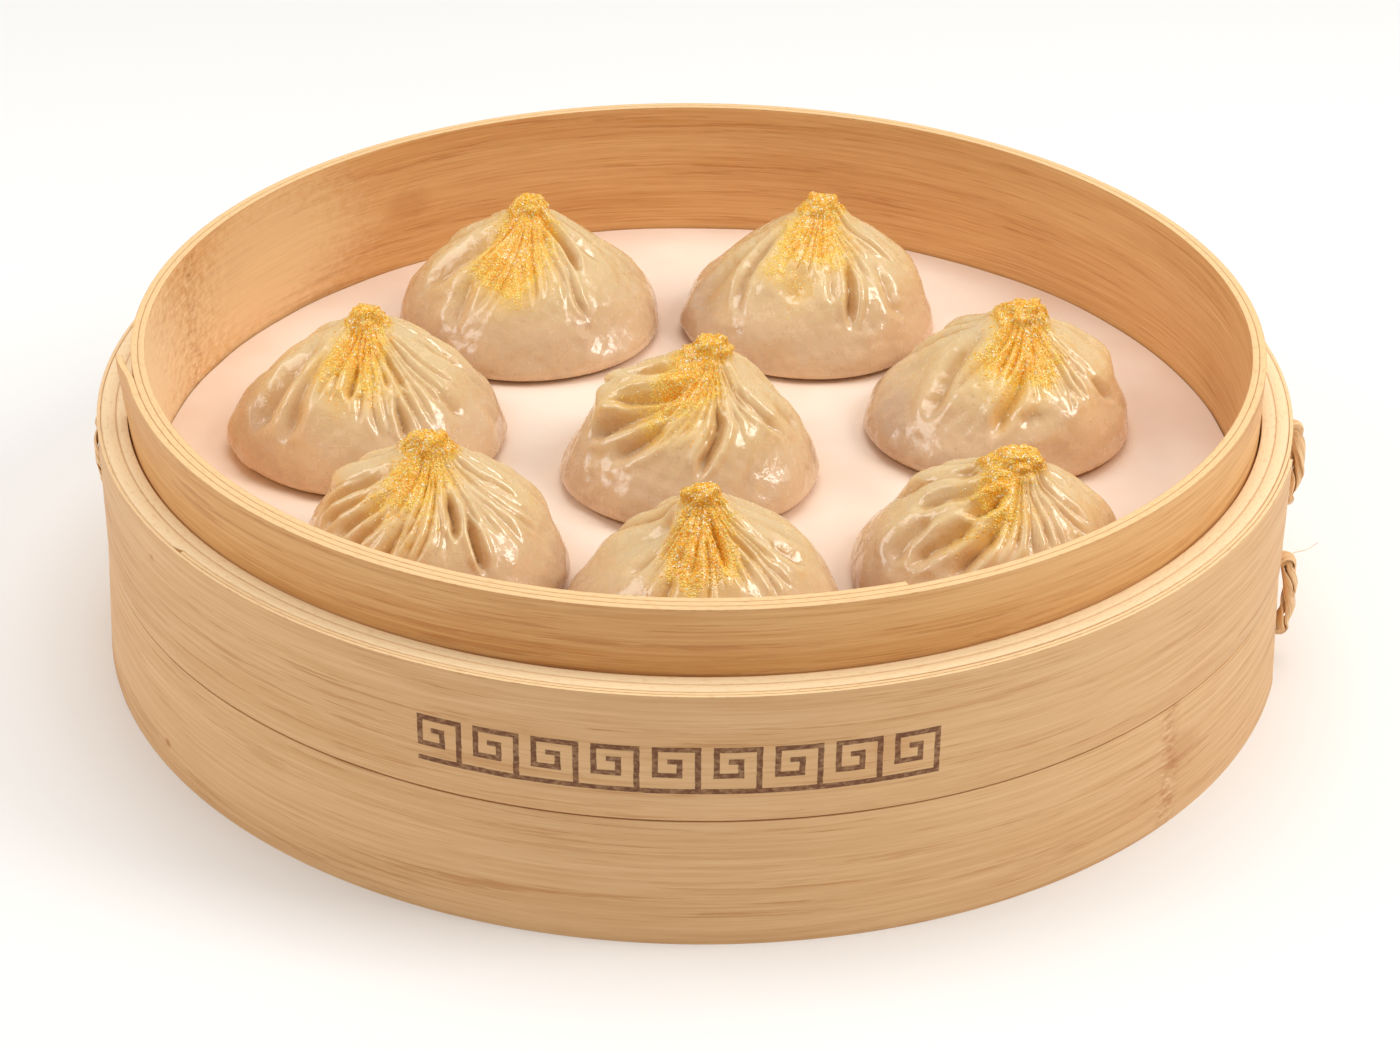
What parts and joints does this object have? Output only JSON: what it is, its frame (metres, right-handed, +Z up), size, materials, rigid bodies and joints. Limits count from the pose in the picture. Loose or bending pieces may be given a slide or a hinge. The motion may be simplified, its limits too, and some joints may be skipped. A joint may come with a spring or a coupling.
{
  "type": "xiaolongbao soup dumplings in a bamboo steamer tier",
  "caption": "Open round bamboo steamer tier with pleated soup dumplings on its paper liner, each twisted shut at the top and dusted with gold flakes.",
  "frame": {"origin": "middle of the footprint, on the surface that the tier stands on", "axes": "+Z up through the tier, -Y towards the viewer of the picture, +X to the viewer's right"},
  "size_m": [0.234, 0.2308, 0.0615],
  "materials": {
    "bamboo": "smooth pale split bamboo with fine lengthwise fibres, lightly oiled",
    "bamboo_inside": "warm orange-tan bamboo strip, satin, darker from steam",
    "cane": "dry twisted cane, matt, slightly frayed",
    "paper": "soft thin steaming paper, matt, faintly creased",
    "skin": "wet translucent steamed dough, glossy, browner low down where the filling shows",
    "gold": "edible gold dust and leaf flakes, bright and broken"
  },
  "bodies": {
    "root": {"inner_hoop": "bamboo_inside", "lath_inner": "bamboo", "lath_outer": "bamboo", "upper_band": "bamboo", "lower_band": "bamboo", "floor_ring": "bamboo_inside", "rib_1": "bamboo_inside", "rib_2": "bamboo_inside", "rib_3": "bamboo_inside", "slat_01": "bamboo_inside", "slat_02": "bamboo_inside", "slat_03": "bamboo_inside", "slat_04": "bamboo_inside", "slat_05": "bamboo_inside", "slat_06": "bamboo_inside", "slat_07": "bamboo_inside", "slat_08": "bamboo_inside", "slat_09": "bamboo_inside", "slat_10": "bamboo_inside", "slat_11": "bamboo_inside", "slat_12": "bamboo_inside", "slat_13": "bamboo_inside", "paper_liner": "paper", "lashing_left": "cane", "lashing_right_upper": "cane", "lashing_right_lower": "cane", "lashing_back": "cane", "dumpling_1": "skin", "dumpling_2": "skin", "dumpling_3": "skin", "dumpling_4": "skin", "dumpling_5": "skin", "dumpling_6": "skin", "dumpling_7": "skin", "dumpling_8": "skin"}
  },
  "joints": []
}
